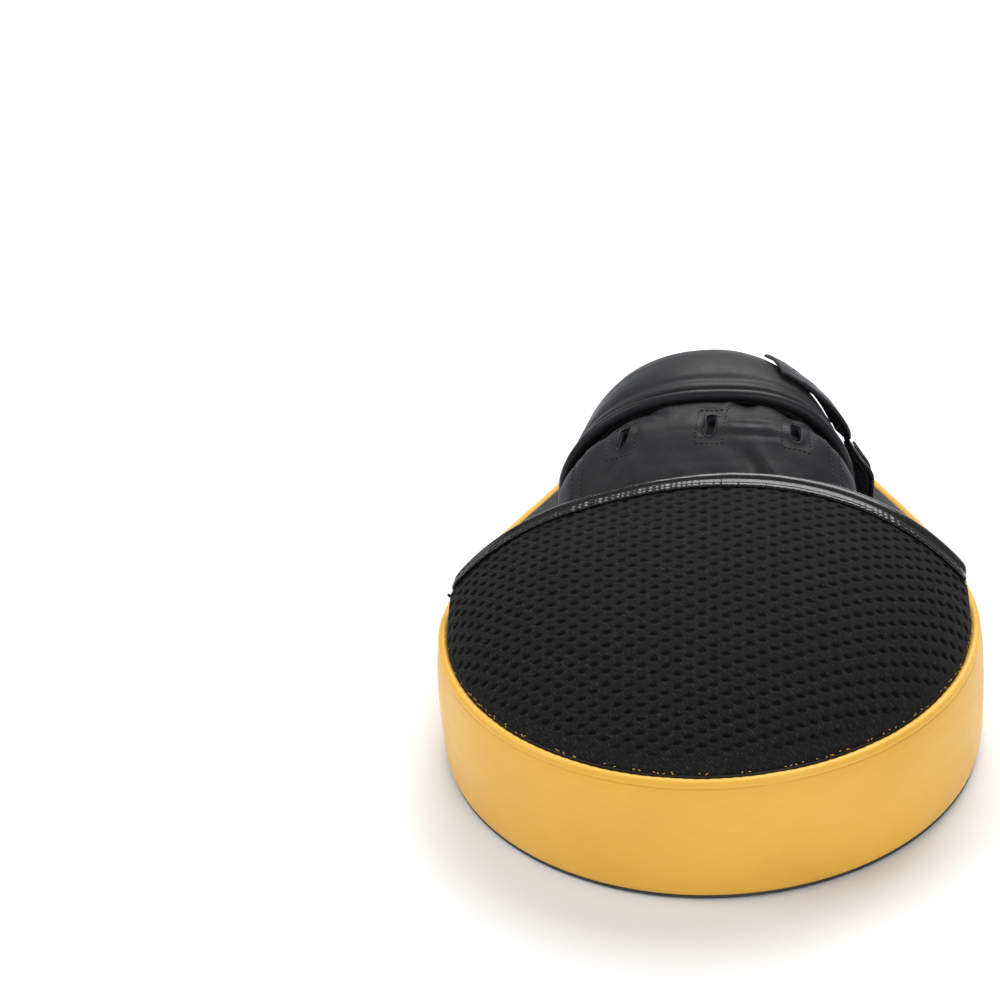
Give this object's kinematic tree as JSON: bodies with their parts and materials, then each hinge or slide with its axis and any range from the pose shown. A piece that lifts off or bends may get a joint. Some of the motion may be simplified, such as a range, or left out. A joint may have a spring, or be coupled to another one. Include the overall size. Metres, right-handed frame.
{
  "type": "focus mitt",
  "caption": "Hand-held boxing focus mitt: egg-shaped striking pad with yellow gusset, mesh finger hood, leather glove back and padded wrist strap with a closure tab.",
  "frame": {"origin": "middle of the footprint on the plane of the strike face, which lies down", "axes": "+Y from fingers to wrist, +Z from strike face to the back of the hand, +X towards the thumb side"},
  "size_m": [0.188, 0.29, 0.0979],
  "materials": {
    "face_leather": "smooth matt black synthetic leather with a faint grain",
    "target_leather": "smooth matt black synthetic leather, stitched round its edge, with a plain ring printed on it",
    "yellow_leather": "satin golden yellow synthetic leather with fine creases",
    "foam": "closed-cell foam",
    "board": "stiff fibre board",
    "back_leather": "matt black synthetic leather",
    "hood_mesh": "black spacer mesh with rows of oval holes",
    "lining_textile": "black knitted lining",
    "patent_vinyl": "glossy black patent vinyl piping",
    "glove_leather": "soft black synthetic leather with creases",
    "binding_leather": "soft black synthetic leather, rolled",
    "strap_leather": "soft smooth black synthetic leather",
    "loop_textile": "black loop pile",
    "hook_textile": "black hook tape"
  },
  "bodies": {
    "mitt": {"strike_face_cover": "face_leather", "target_patch": "target_leather", "face_binding": "yellow_leather", "gusset_band": "yellow_leather", "back_piping": "yellow_leather", "strike_foam": "foam", "core_foam": "foam", "backing_board": "board", "comfort_foam": "foam", "back_cover": "back_leather", "finger_hood": "hood_mesh", "hood_lining": "lining_textile", "hood_piping": "patent_vinyl", "glove_shell": "glove_leather", "vent_panel": "glove_leather", "glove_lining": "lining_textile", "thumb_stall": "glove_leather", "thumb_binding": "binding_leather", "palm_mound": "foam", "palm_cover": "glove_leather", "wrist_pad": "glove_leather", "closure_flap": "strap_leather", "flap_lining": "loop_textile", "loop_patch": "loop_textile", "strap_anchor": "strap_leather"},
    "strap": {"strap_band": "strap_leather", "strap_padding": "foam", "strap_lining": "lining_textile", "strap_front_piping": "binding_leather", "strap_rear_piping": "binding_leather"},
    "tab": {"strap_tab": "strap_leather", "hook_patch": "hook_textile"}
  },
  "joints": [
    {"name": "strap_swing", "type": "hinge", "parent": "mitt", "child": "strap", "pos_m": [-0.0555, 0.043, 0.0303], "axis": [0, -0.9706, 0.2408], "range_deg": [0, 90]},
    {"name": "tab_peel", "type": "hinge", "parent": "strap", "child": "tab", "pos_m": [0.0295, 0.0475, 0.089], "axis": [0.2796, -0.9452, 0.1684], "range_deg": [0, 60]}
  ]
}
